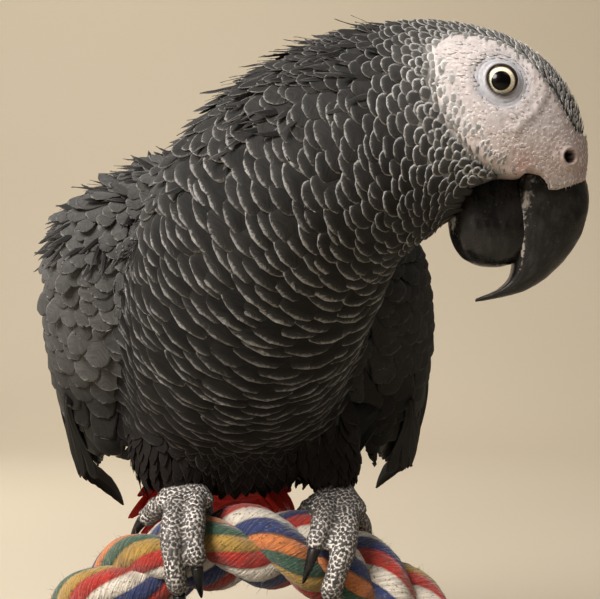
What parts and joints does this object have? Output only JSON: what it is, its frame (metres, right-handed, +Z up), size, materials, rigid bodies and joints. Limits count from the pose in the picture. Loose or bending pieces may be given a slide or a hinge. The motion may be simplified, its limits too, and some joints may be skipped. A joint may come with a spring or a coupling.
{
  "type": "grey parrot on a rope perch",
  "caption": "Life-size still model of a grey parrot leaning forward on a short rope perch, held by a plain round display stand.",
  "frame": {"origin": "centre of the flat underside of the stand's base", "axes": "+Z up, -Y the way the bird's chest faces, -X the bird's right side"},
  "size_m": [0.1734, 0.2627, 0.2194],
  "materials": {
    "feather_grey": "scalloped ash-grey contour feathers, each with a pale rim",
    "feather_dark": "charcoal flight feathers with a faint silky sheen",
    "feather_red": "scarlet tail feathers and tail coverts",
    "face_skin": "bare chalky white facial skin with fine folds",
    "cere_skin": "pinkish grey bare skin round the nostrils",
    "bill_horn": "black horn, satin, with pale flaking at the edges",
    "foot_skin": "dark skin under a net of pale scales",
    "eye": "glossy eye with a pale yellow iris and a black pupil",
    "rope_cotton": "twisted cotton rope with bands of orange, green, yellow, red, white and blue yarn",
    "rod_steel": "brushed steel rod",
    "base_paint": "turned wooden disc with satin black paint"
  },
  "bodies": {
    "root": {"bill_lower": "bill_horn", "bill_upper": "bill_horn", "cere": "cere_skin", "claw_left_1": "bill_horn", "claw_left_2": "bill_horn", "claw_left_3": "bill_horn", "claw_left_4": "bill_horn", "claw_right_1": "bill_horn", "claw_right_2": "bill_horn", "claw_right_3": "bill_horn", "claw_right_4": "bill_horn", "eye_left": "eye", "eye_right": "eye", "foot_left": "foot_skin", "foot_right": "foot_skin", "head": "face_skin", "neck": "feather_grey", "perch_rope": "rope_cotton", "stand_base": "base_paint", "stand_rod_left": "rod_steel", "stand_rod_right": "rod_steel", "tail": "feather_red", "thigh_left": "feather_grey", "thigh_right": "feather_grey", "trunk": "feather_grey", "wing_left_coverts": "feather_grey", "wing_left_primaries": "feather_dark", "wing_left_secondaries": "feather_dark", "wing_right_coverts": "feather_grey", "wing_right_primaries": "feather_dark", "wing_right_secondaries": "feather_dark"}
  },
  "joints": []
}
